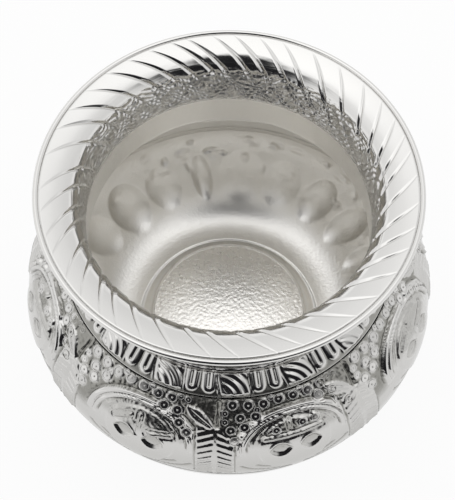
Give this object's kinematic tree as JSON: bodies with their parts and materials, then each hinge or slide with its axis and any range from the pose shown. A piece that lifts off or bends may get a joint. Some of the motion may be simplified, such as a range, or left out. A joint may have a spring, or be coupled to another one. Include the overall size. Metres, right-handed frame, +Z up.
{
  "type": "kalash",
  "caption": "Squat round ritual water pot of thin sheet metal, with a wide flared and fluted mouth, a short neck, a chased belly and a flat raised floor.",
  "frame": {"origin": "centre of the ring under the bowl that the pot stands on, on the surface it stands on", "axes": "+Z up along the pot's axis of revolution, -Y towards the side that the picture shows"},
  "size_m": [0.1178, 0.118, 0.0859],
  "materials": {
    "polished_silver": "polished, chased",
    "satin_silver": "satin",
    "solder": "satin"
  },
  "bodies": {
    "root": {"mouth_flange": "polished_silver", "rim_wire": "polished_silver", "neck_solder": "solder", "shoulder_shell": "polished_silver", "seam_solder": "solder", "bowl_shell": "satin_silver", "floor_plate": "satin_silver"}
  },
  "joints": []
}
